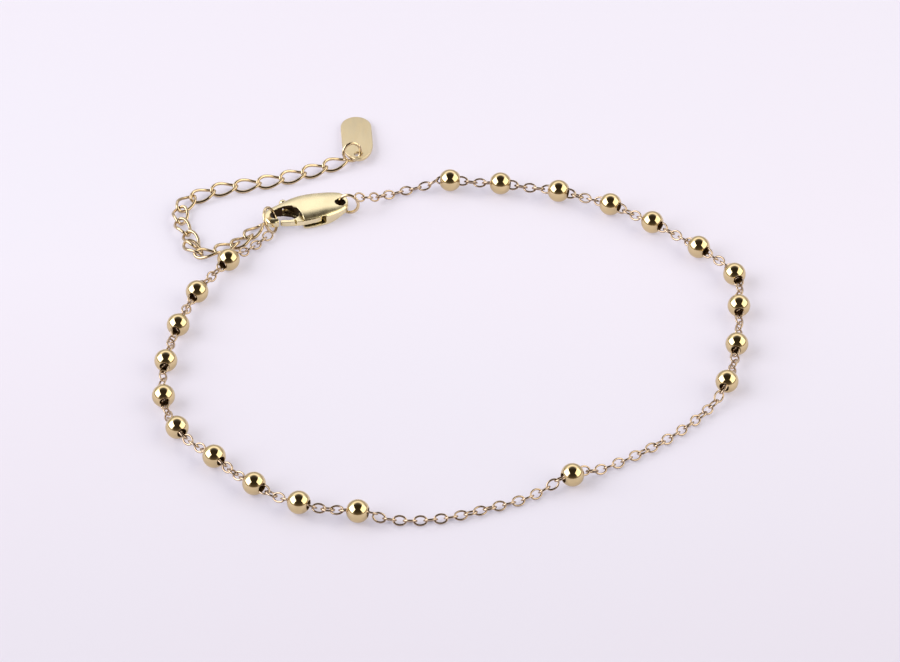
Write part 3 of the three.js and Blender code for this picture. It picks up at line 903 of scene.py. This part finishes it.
join(tone.outputs["Color"], shader.inputs["Base Color"])
join(where.outputs["Object"], table_axes.inputs["Vector"])
join(table_axes.outputs["Y"], depth.inputs["Value"])
join(depth.outputs["Result"], glow.inputs["Fac"])
join(glow.outputs["Color"], shader.inputs["Emission Color"])
table.data.materials.append(paper)
print("table glow:", GLOW)

# %% [markdown]
# Polished metal shows the room more than itself, so the light is a small studio: a wide soft
# box low on each side, a pale wall behind, and a dark gap overhead and in front that draws
# the brown shape between the two highlights on every bead. The right box is weaker and
# warmer, which is why each bead's right highlight is the yellower one.


# %% Soft boxes
def soft_box(name, place, size, power, colour):
    """A rectangular lamp that faces the anklet and that the camera doesn't see."""
    bpy.ops.object.light_add(type="AREA", location=place)
    lamp = bpy.context.active_object
    lamp.name = name
    lamp.data.shape = "RECTANGLE"
    lamp.data.size, lamp.data.size_y = size
    lamp.data.energy = power
    lamp.data.color = colour
    lamp.rotation_euler = (-Vector(place)).to_track_quat("-Z", "Y").to_euler()
    lamp.visible_camera = False


BOX_DISTANCE = 1.6
BOX_SIZE = (1.9, 1.35)
BOX_AT_SIDE, BOX_TO_FRONT, BOX_HEIGHT = 0.81, -0.14, 0.54
BOXES = (("left_box", -1, 28, (0.99, 0.98, 1)), ("right_box", 1, 17, (1, 0.94, 0.78)))
for name, side, power, tint in BOXES:
    towards_box = Vector((side * BOX_AT_SIDE, BOX_TO_FRONT, BOX_HEIGHT)).normalized()
    soft_box(name, towards_box * BOX_DISTANCE, BOX_SIZE, power, tint)
print("soft boxes:", [box[0] for box in BOXES])

# %% [markdown]
# The walls of the studio could be planes, but they are painted on the world, with maths on
# the direction that a ray leaves in. Three parts are mixed. The wall behind and the room in
# front each have tones from the horizon up, and the sides are one brown grey that fades out
# higher up.

# %% Walls of the studio
world = bpy.data.worlds.new("studio")
bpy.context.scene.world = world
world.use_nodes = True
nodes, links = world.node_tree.nodes, world.node_tree.links
backdrop = nodes["Background"]
direction = nodes.new("ShaderNodeTexCoord")
axes = nodes.new("ShaderNodeSeparateXYZ")
links.new(direction.outputs["Generated"], axes.inputs["Vector"])


def fade(source, start, end):
    """A soft step of a direction's component, from 0 at start to 1 at end."""
    node = nodes.new("ShaderNodeMapRange")
    node.interpolation_type = "SMOOTHSTEP"
    node.inputs["From Min"].default_value = start
    node.inputs["From Max"].default_value = end
    links.new(source, node.inputs["Value"])
    return node.outputs["Result"]


def times(a, b):
    node = nodes.new("ShaderNodeMath")
    node.operation = "MULTIPLY"
    links.new(a, node.inputs[0])
    links.new(b, node.inputs[1])
    return node.outputs["Value"]


def tones(steps, tint):
    """A ramp of one tint over the height of a direction."""
    ramp = nodes.new("ShaderNodeValToRGB")
    while len(ramp.color_ramp.elements) < len(steps):
        ramp.color_ramp.elements.new(0.5)
    for element, (height, tone) in zip(ramp.color_ramp.elements, steps):
        element.position = height
        element.color = [tone * part for part in tint] + [1]
    links.new(axes.outputs["Z"], ramp.inputs["Fac"])
    return ramp.outputs["Color"]


WALL_TONES = (
    (0.0, 0.5), (0.3, 0.62), (0.48, 1.0), (0.6, 1.7), (0.7, 1.5), (0.79, 0.6), (0.88, 0.1),
)
WALL_TINT = (1, 0.97, 0.97)
FRONT_TONES = ((0.0, 0.34), (0.08, 0.2), (0.25, 0.1), (0.6, 0.05), (1.0, 0.04))
FRONT_TINT = (1, 0.78, 0.55)
SIDE_TONE = (0.42, 0.37, 0.34, 1)
WALL_FADE = (0.05, 0.45)
SIDE_FADE = (0.45, 0.8)
OVERHEAD_FADE = (0.75, 0.5)
behind = fade(axes.outputs["Y"], *WALL_FADE)
sideways = nodes.new("ShaderNodeMath")
sideways.operation = "ABSOLUTE"
links.new(axes.outputs["X"], sideways.inputs[0])
low_enough = fade(axes.outputs["Z"], *OVERHEAD_FADE)
beside = times(fade(sideways.outputs["Value"], *SIDE_FADE), low_enough)


def mixed(factor, a, b):
    """A mix of two colours or sockets, from a at factor 0 to b at factor 1."""
    node = nodes.new("ShaderNodeMix")
    node.data_type = "RGBA"
    links.new(factor, node.inputs["Factor"])
    for socket, colour in (("A", a), ("B", b)):
        if isinstance(colour, tuple):
            node.inputs[socket].default_value = colour
        else:
            links.new(colour, node.inputs[socket])
    return node.outputs["Result"]


room = mixed(beside, tones(FRONT_TONES, FRONT_TINT), SIDE_TONE)
room = mixed(behind, room, tones(WALL_TONES, WALL_TINT))
links.new(room, backdrop.inputs["Color"])
print("nodes that paint the studio:", len(nodes))
